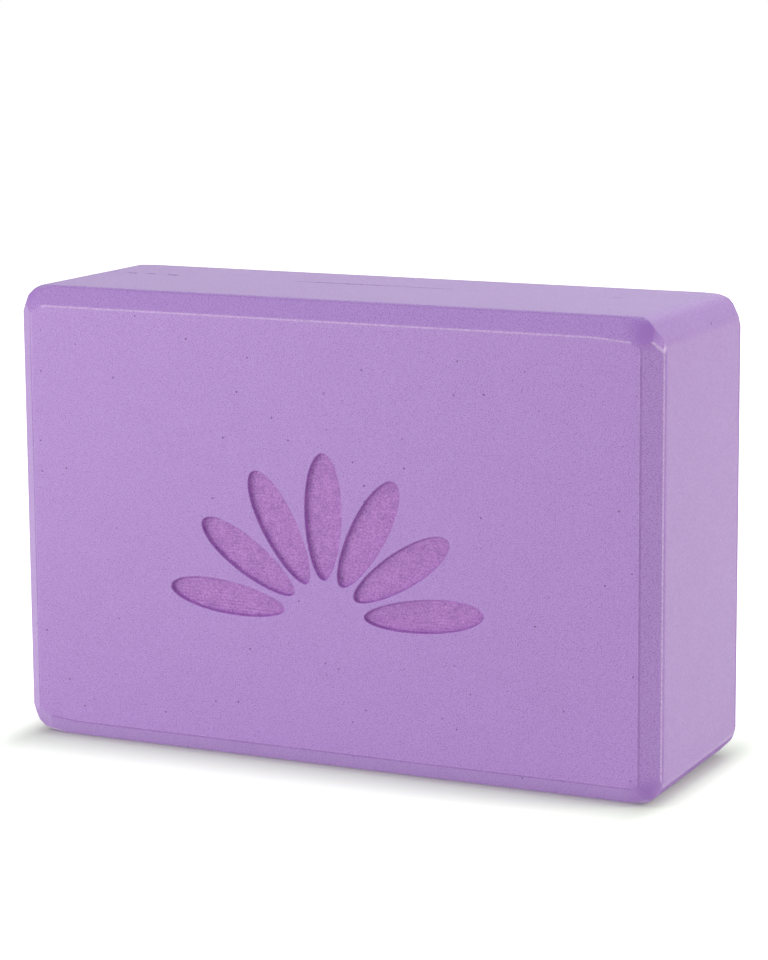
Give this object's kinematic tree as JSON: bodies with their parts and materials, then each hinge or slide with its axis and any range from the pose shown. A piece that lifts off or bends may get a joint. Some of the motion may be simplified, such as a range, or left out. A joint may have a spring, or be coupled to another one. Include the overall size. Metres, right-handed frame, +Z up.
{
  "type": "yoga block",
  "caption": "Firm closed-cell foam brick with chamfered, eased edges, made of foam slabs glued face to face, used to support a hand, foot or hip in yoga and stretching.",
  "frame": {"origin": "middle of the underside, with the block standing on one of its long narrow sides", "axes": "+X along the length, +Y from the front broad face to the back broad face, +Z up"},
  "size_m": [0.2286, 0.0762, 0.1524],
  "materials": {
    "foam": "matte lilac EVA foam with a fine cut grain",
    "glue": "dried contact adhesive, tinted like the foam"
  },
  "bodies": {
    "root": {"front_foam_slab": "foam", "rear_foam_slab": "foam", "glue_film": "glue"}
  },
  "joints": []
}
